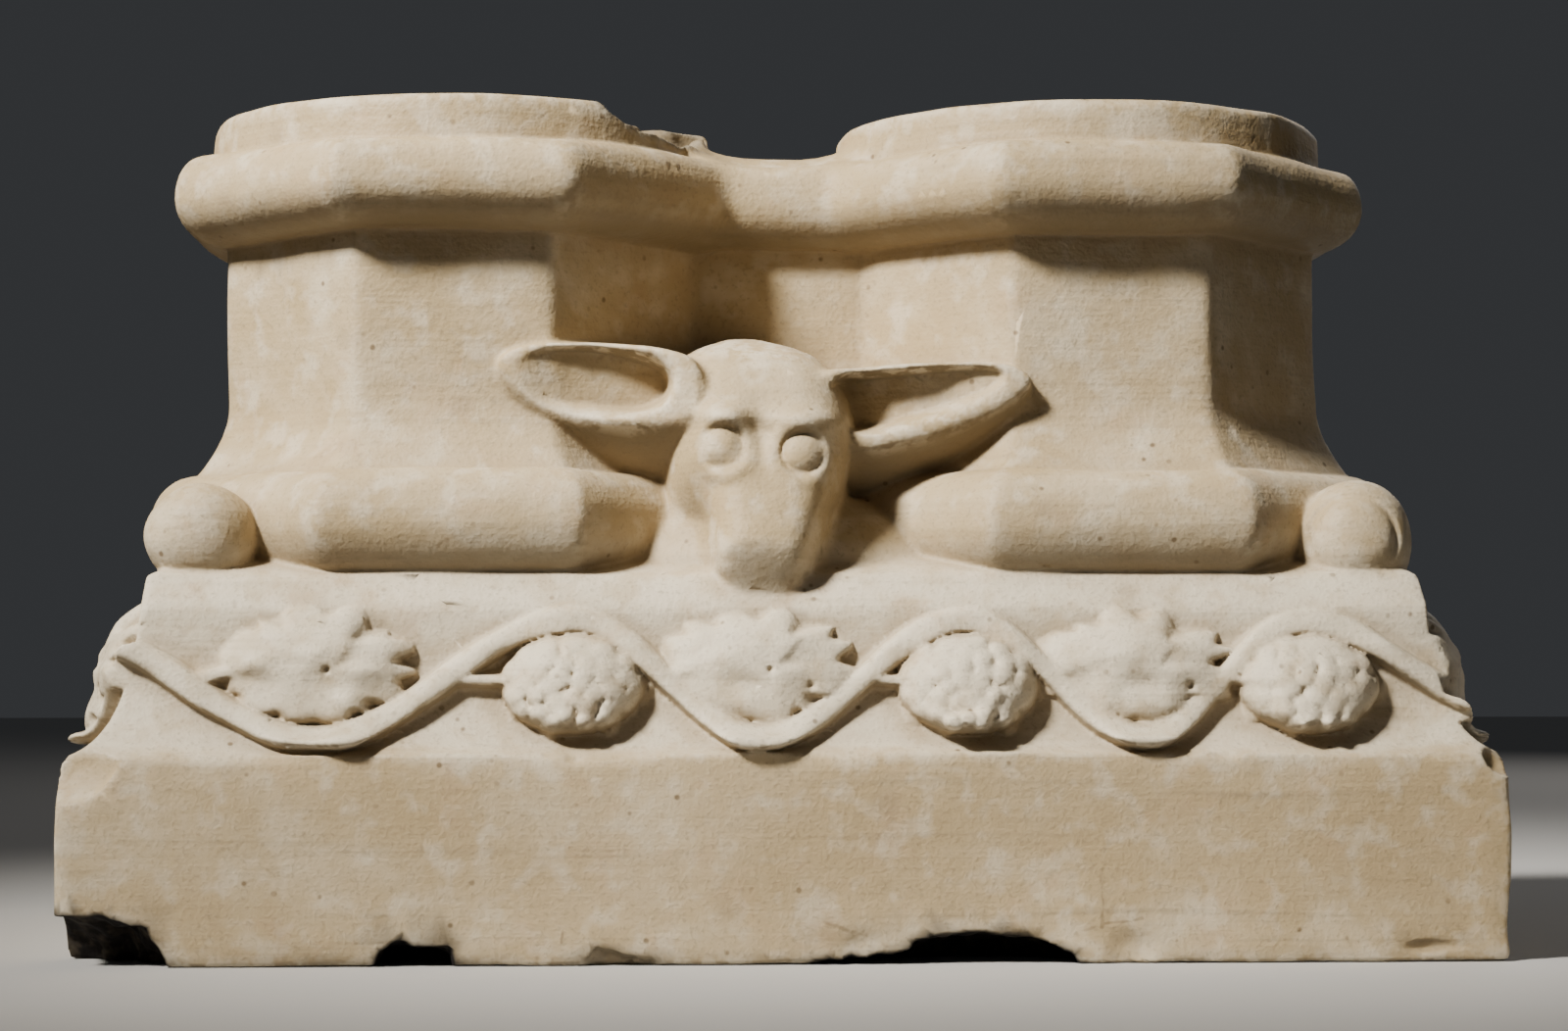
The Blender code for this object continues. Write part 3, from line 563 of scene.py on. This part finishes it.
# Each break: its middle, its reach each way, how rough it is and how dark the shade painted inside it is
BREAKS = (
    ((-0.040, -0.062, TOP + 0.009), (0.043, 0.056, 0.022), 0.0045, 0.60),
    ((-HALF_WIDTH - 0.004, -HALF_DEPTH + 0.004, -0.002), (0.050, 0.034, 0.0235), 0.0034, 1.0),
    ((-0.1435, -HALF_DEPTH + 0.006, -0.002), (0.019, 0.026, 0.0115), 0.0018, 1.0),
    ((-0.069, -HALF_DEPTH - 0.001, 0.001), (0.014, 0.005, 0.0080), 0.0026, 0.35),
    ((0.076, -HALF_DEPTH + 0.008, -0.004), (0.040, 0.034, 0.0165), 0.0020, 1.0),
    ((0.048, -HALF_DEPTH + 0.004, -0.003), (0.040, 0.026, 0.0090), 0.0020, 1.0),
    ((0.253, -HALF_DEPTH - 0.001, 0.0064), (0.016, 0.0035, 0.0030), 0.0012, 0.15),
    ((0.026, -HALF_DEPTH - 0.0012, 0.006), (0.020, 0.0034, 0.0085), 0.0012, 0.16),
    ((0.136, -HALF_DEPTH - 0.0012, 0.007), (0.017, 0.0028, 0.0100), 0.0010, 0.06),
    ((-0.0823, -HALF_DEPTH - 0.001, PLINTH_HEIGHT), (0.006, 0.0045, 0.0045), 0.0014, 0.0),
    ((0.1715, -HALF_DEPTH - 0.001, PLINTH_HEIGHT), (0.008, 0.0040, 0.0035), 0.0014, 0.0),
    ((-0.0850, -0.1250, 0.3130), (0.0090, 0.0080, 0.0130), 0.0010, 0.0),
    ((-HALF_WIDTH - 0.001, -HALF_DEPTH - 0.001, PLINTH_HEIGHT), (0.026, 0.011, 0.021), 0.0015, 0.0),
    ((HALF_WIDTH + 0.001, -HALF_DEPTH - 0.001, PLINTH_HEIGHT), (0.013, 0.012, 0.011), 0.0015, 0.0),
)


def blurred(values, spread):
    """The field with its edges softened over that distance."""
    reach = max(1, round(2.5 * spread / GRAIN))
    weights = [np.exp(-0.5 * (step * GRAIN / spread) ** 2) for step in range(reach + 1)]
    whole = weights[0] + 2 * sum(weights[1:])
    for index in range(3):
        margin = [(reach, reach) if axis == index else (0, 0) for axis in range(3)]
        padded = np.moveaxis(np.pad(values, margin, mode="edge"), index, 0)
        count = values.shape[index]
        total = padded[reach:reach + count] * np.float32(weights[0] / whole)
        for step in range(1, reach + 1):
            pair = padded[reach - step:reach - step + count] + padded[reach + step:reach + step + count]
            pair *= np.float32(weights[step] / whole)
            total += pair
        values = np.moveaxis(total, 0, index)
    return np.ascontiguousarray(values)


def soft_cut(form, cutter, blend):
    """Cuts one form out of another with a slightly worn edge."""
    return -soft_union(-form, cutter, blend)


fine_lumps = lumps(0.017, 2)
settle = (smooth_step(zs / 0.012) * smooth_step((TOP - zs) / 0.006)).astype(np.float32)
stone += (UNEVENNESS * lumps(0.055, 1) + FINE_UNEVENNESS * fine_lumps) * settle
worn = np.interp(zs, WEAR_LEVELS, WEAR_SHARES).astype(np.float32)
worn = worn * np.clip(0.85 + 0.6 * fine_lumps, 0.25, 1.8)
stone += worn * np.clip(blurred(stone, WEAR_SPREAD) - stone, 0, None)
del worn
del fine_lumps

# The shade inside the breaks is painted: each break marks how near black the colour of its cut is made
painted_break_shade = np.zeros(stone.shape, np.float32)
for middle, reach, roughness, break_darkness in BREAKS:
    cut, x, y, z = around(middle, [size * 1.5 + 0.01 for size in reach])
    form = ellipsoid(x, y, z, middle, reach) + roughness * lumps(BREAK_LUMPS, 4, cut) * 0.85
    form += CRUMB * lumps(CRUMB_LUMPS, 6, cut) * (roughness > 0.0016)
    stone[cut] = soft_cut(stone[cut], form, 0.0004)
    painted_break_shade[cut] = np.maximum(painted_break_shade[cut], break_darkness * np.clip(1.2 - np.maximum(form, 0) / BREAK_SHADE_REACH, 0, 1) ** 3)

# The finished block
# One piece of stone, 0.568 m wide, 0.312 m deep and 0.349 m high, with no joint anywhere. Every form
# above is part of it, so its whole skin is one closed mesh.
TRIANGLES = 190000
# How widely the field is blurred to find hollows, close by and more widely, where shade is painted into the
# colour
HOLLOW_SPREAD = 0.0045
OCCLUSION_SHADE_SPREAD = 0.0035


def sampled(values, places):
    """The values found at places between the grid's points."""
    limit = np.array(values.shape) - 2
    corner = np.clip(places.astype(int), 0, limit)
    part = np.clip(places - corner, 0, 1)
    total = 0
    for step in ((0, 0, 0), (0, 0, 1), (0, 1, 0), (0, 1, 1), (1, 0, 0), (1, 0, 1), (1, 1, 0), (1, 1, 1)):
        share = np.prod(np.where(step, part, 1 - part), axis=1)
        total = total + share * values[tuple((corner + step).T)]
    return total


def carved_mesh(field, name):
    """The stone's surface as a mesh, which also keeps at each place how hollow it is, close by and more
    widely, for the shade painted into its recesses, and how dark the shade painted into its breaks is.
    """
    coarse_step = 4
    coarse = field[::coarse_step, ::coarse_step, ::coarse_step]
    reach = 3 * GRAIN
    grid = openvdb.FloatGrid()
    grid.background = reach
    grid.copyFromArray(np.clip(field, -reach, reach))
    places, triangles, quads = grid.convertToPolygons(isovalue=0.0, adaptivity=0.02)
    quads = quads.astype(np.int64)
    faces = np.concatenate([triangles.astype(np.int64), quads[:, [0, 1, 2]], quads[:, [0, 2, 3]]])
    first, second, third = (places[faces[:, corner]] for corner in range(3))
    volume = np.einsum("ij,ij->i", first, np.cross(second, third)).sum()
    if volume < 0:
        faces = faces[:, ::-1]
    # The field blurred close by and more widely, for the shade painted into recesses, and how dark the shade
    # painted into each break is
    marks = {
        "hollow": sampled(blurred(field, HOLLOW_SPREAD), places),
        "painted_occlusion_shade": sampled(blurred(coarse, OCCLUSION_SHADE_SPREAD), places / coarse_step),
        "painted_break_shade": sampled(painted_break_shade, places),
    }
    places = places * GRAIN + np.array((xs[0], ys[0], zs[0]))
    places[:, 2] = np.maximum(places[:, 2], low.z)
    mesh = bpy.data.meshes.new(name)
    mesh.vertices.add(len(places))
    mesh.vertices.foreach_set("co", places.astype(np.float32).ravel())
    mesh.loops.add(len(faces) * 3)
    mesh.loops.foreach_set("vertex_index", faces.astype(np.int32).ravel())
    mesh.polygons.add(len(faces))
    mesh.polygons.foreach_set("loop_start", np.arange(len(faces), dtype=np.int32) * 3)
    for mark, values in marks.items():
        layer = mesh.attributes.new(mark, "FLOAT", "POINT")
        layer.data.foreach_set("value", values.astype(np.float32))
    mesh.update(calc_edges=True)
    mesh.validate()
    return mesh


base = bpy.data.objects.new("carved_column_base", carved_mesh(stone, "carved_column_base"))
bpy.context.scene.collection.objects.link(base)
thin = base.modifiers.new("Thin", "DECIMATE")
thin.ratio = min(1.0, TRIANGLES / len(base.data.polygons))
graph = bpy.context.evaluated_depsgraph_get()
base.data = bpy.data.meshes.new_from_object(base.evaluated_get(graph))
base.modifiers.clear()
base.data.shade_smooth()

# The marble
# Old ivory marble, whiter on the hollow band and tan on the plinth, with fine tool lines along the faces.
# Shade is painted into the colour: olive on faces turned down, ochre in recesses, and near black inside the
# old breaks.

# Straight stretches of the hairline cracks in the plinth's front: across and up at both ends
CRACKS = (((0.1219, 0.0385), (0.1223, 0.0139)), ((0.1142, 0.0130), (0.1371, 0.0187)),
          ((0.1371, 0.0187), (0.1505, 0.0103)), ((0.0112, 0.0177), (0.0455, 0.0055)),
          ((-0.0860, 0.0450), (-0.0888, 0.0099)))


class Tone:
    """A shader value that is written with plus, minus, times and divide."""

    tree = None

    def __init__(self, socket):
        self.socket = socket

    @classmethod
    def node(cls, kind, settings=None, inputs=None, output=0):
        """Adds a node of that type, sets it, feeds its sockets and returns one output."""
        node = cls.tree.nodes.new(kind)
        for name, value in (settings or {}).items():
            setattr(node, name, value)
        for name, value in (inputs or {}).items():
            if isinstance(value, cls):
                cls.tree.links.new(value.socket, node.inputs[name])
            else:
                node.inputs[name].default_value = value
        return cls(node.outputs[output])

    def math(self, operation, first, second):
        """Adds one Math node."""
        return self.node("ShaderNodeMath", {"operation": operation}, {0: first, 1: second})

    def __add__(self, other):
        return self.math("ADD", self, other)

    __radd__ = __add__

    def __sub__(self, other):
        return self.math("SUBTRACT", self, other)

    def __rsub__(self, other):
        return self.math("SUBTRACT", other, self)

    def __mul__(self, other):
        return self.math("MULTIPLY", self, other)

    __rmul__ = __mul__

    def between(self, start, end):
        """Nought at the start value, one at the end value, held outside them."""
        return self.node("ShaderNodeMapRange", {"clamp": True},
                         {"Value": self, "From Min": start, "From Max": end})


def mixed(share, first, second):
    """One colour turning into another."""
    return Tone.node("ShaderNodeMix", {"data_type": "RGBA"}, {0: share, 6: first, 7: second}, output=2)


def marble():
    """The stone's finish, from its ground colour up to the shade painted into the breaks."""
    cream = (0.55, 0.432, 0.262, 1)
    pale = (0.62, 0.515, 0.345, 1)
    white = (0.74, 0.655, 0.500, 1)
    tan = (0.47, 0.352, 0.190, 1)
    rose = (0.55, 0.365, 0.210, 1)
    ochre = (0.34, 0.255, 0.150, 1)
    olive = (0.185, 0.145, 0.088, 1)
    brown = (0.13, 0.080, 0.035, 1)
    black = (0.006, 0.004, 0.003, 1)
    material = bpy.data.materials.new("old_ivory_marble")
    material.use_nodes = True
    Tone.tree = material.node_tree
    shader = Tone.tree.nodes["Principled BSDF"]
    place = Tone.node("ShaderNodeTexCoord", output=3)
    across, ahead, height = (
        Tone.node("ShaderNodeSeparateXYZ", None, {"Vector": place}, output=axis) for axis in range(3))
    normal = Tone.node("ShaderNodeNewGeometry", output=1)
    facing = Tone.node("ShaderNodeSeparateXYZ", None, {"Vector": normal}, output=2)

    def cloud(scale, detail, stretch=(1, 1, 1), roughness=0.55, shift=0.0, distortion=0.0):
        """Soft clouds of noise, about one over the scale metres across."""
        where = Tone.node("ShaderNodeMapping", None, {"Vector": place, "Scale": stretch,
                                                      "Location": (shift, shift, shift)})
        return Tone.node("ShaderNodeTexNoise", None, {
            "Vector": where, "Scale": scale, "Detail": detail,
            "Roughness": roughness, "Distortion": distortion})

    def mark(name):
        """A value that the mesh keeps at each of its points."""
        return Tone.node("ShaderNodeAttribute", {"attribute_name": name}, output=2)

    def crack(ends):
        """One straight stretch of a hairline crack in the plinth's front, given by its two ends."""
        (ax, az), (bx, bz) = ends
        run, rise = bx - ax, bz - az
        along = (across * run + height * rise).between(ax * run + az * rise, bx * run + bz * rise)
        aside = across - ax - along * run + (mottles - 0.5) * 0.006
        over = height - az - along * rise + (clouds - 0.5) * 0.010
        return (aside * aside + over * over).between(7e-7, 1e-7)

    hollow, painted_occlusion_shade, break_shade_share = mark("hollow"), mark("painted_occlusion_shade"), mark("painted_break_shade")
    blotches = cloud(11, 4, distortion=0.4)
    clouds = cloud(24, 3, shift=3.1, distortion=0.3)
    stains = cloud(34, 4, roughness=0.68, shift=7.7)
    tool_lines = cloud(95, 2, (0.07, 0.07, 2.2), roughness=0.6, shift=1.3)
    grains = cloud(520, 1, roughness=0.6)
    coarse_grains = cloud(150, 2, roughness=0.6, shift=5.0)
    mottles = cloud(70, 2, roughness=0.62, shift=9.4)
    specks = Tone.node("ShaderNodeTexVoronoi", None, {"Vector": place, "Scale": 95.0, "Randomness": 1.0})
    spots = Tone.node("ShaderNodeTexVoronoi", None, {"Vector": place, "Scale": 26.0, "Randomness": 1.0})
    band_foot = (PLINTH_HEIGHT - 0.0025, PLINTH_HEIGHT + 0.0030)
    on_plinth = height.between(band_foot[1], band_foot[0])
    on_band = height.between(*band_foot) * height.between(0.168, 0.150)
    painted_underside_shade = facing.between(-0.02, -0.70)
    colour = mixed(blotches.between(0.36, 0.60), cream, tan)
    colour = mixed(clouds.between(0.44, 0.66) * 0.75, colour, pale)
    colour = mixed(height.between(0.280, 0.335) * 0.62, colour, tan)
    colour = mixed(on_band * (1.0 - 0.4 * stains), colour, white)
    colour = mixed(on_plinth * blotches.between(0.32, 0.60) * 0.55, colour, tan)
    colour = mixed(on_plinth * clouds.between(0.54, 0.70) * 0.6, colour, pale)
    colour = mixed(tool_lines.between(0.56, 0.72) * (0.16 + 0.14 * on_plinth), colour, olive)
    colour = mixed(stains.between(0.56, 0.72) * 0.35, colour, rose)
    colour = mixed(stains.between(0.64, 0.78) * 0.50, colour, ochre)
    colour = mixed(mottles.between(0.50, 0.68) * 0.45, colour, tan)
    colour = mixed(mottles.between(0.48, 0.32) * 0.45, colour, white)
    colour = mixed(spots.between(0.20, 0.05) * stains.between(0.42, 0.56) * 0.45, colour, ochre)
    # Painted shade: faces turned down are made darker and olive, for the shade under the rolls
    colour = mixed(painted_underside_shade * 0.84, colour, olive)
    # Painted shade: wide recesses are made ochre, for the shade that falls in them
    colour = mixed(painted_occlusion_shade.between(-0.0010, -0.0100) * 0.50, colour, ochre)
    # Painted shade: small hollows are made ochre, for the shade in them
    colour = mixed(hollow.between(-0.0001, -0.0016) * 0.45, colour, ochre)
    colour = mixed(hollow.between(0.0004, 0.0018) * coarse_grains.between(0.42, 0.56) * 0.6, colour, white)
    colour = mixed(specks.between(0.14, 0.07) * clouds.between(0.50, 0.58) * 0.75, colour, brown)
    colour = mixed(grains.between(0.58, 0.72) * 0.25, colour, olive)
    cracks = sum((crack(ends) for ends in CRACKS), 0.0)
    on_front = ahead.between(0.008 - HALF_DEPTH, 0.004 - HALF_DEPTH)
    colour = mixed(cracks.between(0, 1) * on_front * stains.between(0.30, 0.52) * 0.42, colour, brown)
    # Painted shade: the inside of each break is made near black
    colour = mixed((break_shade_share * (0.75 + 0.5 * coarse_grains)).between(0, 1), colour, black)
    relief = grains * 0.5 + coarse_grains * 0.9 + tool_lines * 0.7
    bump = Tone.node("ShaderNodeBump", None, {"Strength": 0.42, "Distance": 0.0011, "Height": relief})
    Tone.tree.links.new(colour.socket, shader.inputs["Base Color"])
    roughness = 0.46 + 0.24 * coarse_grains + 0.4 * break_shade_share
    Tone.tree.links.new(roughness.socket, shader.inputs["Roughness"])
    Tone.tree.links.new(bump.socket, shader.inputs["Normal"])
    shader.inputs["Specular IOR Level"].default_value = 0.30
    return material


base.data.materials.append(marble())
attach(base, "root")
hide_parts("column_base")

# The studio
# The block stands on a plain pale floor. A soft lamp shines from high on the left, a wider one from
# behind on the right, and the camera is low in front, turned slightly to the right.
CAMERA_PLACE = Vector((-0.0664, -1.3788, 0.1149))
CAMERA_VIEW = Vector((0.0519, 0.9975, 0.0485))
SENSOR_WIDTH = 36.0
FOCAL_PIXELS = 3209
IMAGE_WIDTH = 1600

floor_mesh = bpy.data.meshes.new("floor")
floor_reach = 6.0
floor_mesh.from_pydata([(-floor_reach, -floor_reach, 0), (floor_reach, -floor_reach, 0),
                        (floor_reach, floor_reach, 0), (-floor_reach, floor_reach, 0)], [], [(0, 1, 2, 3)])
floor = bpy.data.objects.new("floor", floor_mesh)
bpy.context.scene.collection.objects.link(floor)
floor_paint = bpy.data.materials.new("pale_floor")
floor_paint.use_nodes = True
floor_shader = floor_paint.node_tree.nodes["Principled BSDF"]
floor_shader.inputs["Base Color"].default_value = (0.50, 0.49, 0.47, 1)
floor_shader.inputs["Roughness"].default_value = 0.9
floor_mesh.materials.append(floor_paint)

camera = bpy.data.objects.new("camera", bpy.data.cameras.new("camera"))
bpy.context.scene.collection.objects.link(camera)
camera.location = CAMERA_PLACE
camera.rotation_euler = CAMERA_VIEW.to_track_quat("-Z", "Y").to_euler()
camera.data.sensor_width = SENSOR_WIDTH
camera.data.lens = FOCAL_PIXELS / IMAGE_WIDTH * SENSOR_WIDTH
bpy.context.scene.camera = camera


def lamp(name, place, size, power, tint, beam=180):
    """A soft square lamp that shines at the block, its beam that many degrees wide."""
    light = bpy.data.lights.new(name, "AREA")
    light.size = size
    light.energy = power
    light.color = tint
    light.spread = radians(beam)
    item = bpy.data.objects.new(name, light)
    bpy.context.scene.collection.objects.link(item)
    item.location = place
    item.rotation_euler = (Vector((0, 0, 0.22)) - Vector(place)).to_track_quat("-Z", "Y").to_euler()


lamp("key_lamp", (-1.77, -1.38, 2.23), 0.50, 5.0, (1.0, 0.96, 0.90), beam=22)
lamp("back_lamp", (1.3, 1.9, 1.5), 1.2, 10, (1.0, 0.96, 0.92))
world = bpy.data.worlds.new("studio")
world.use_nodes = True
world.node_tree.nodes["Background"].inputs["Color"].default_value = (0.76, 0.80, 0.86, 1)
world.node_tree.nodes["Background"].inputs["Strength"].default_value = 0.048
bpy.context.scene.world = world
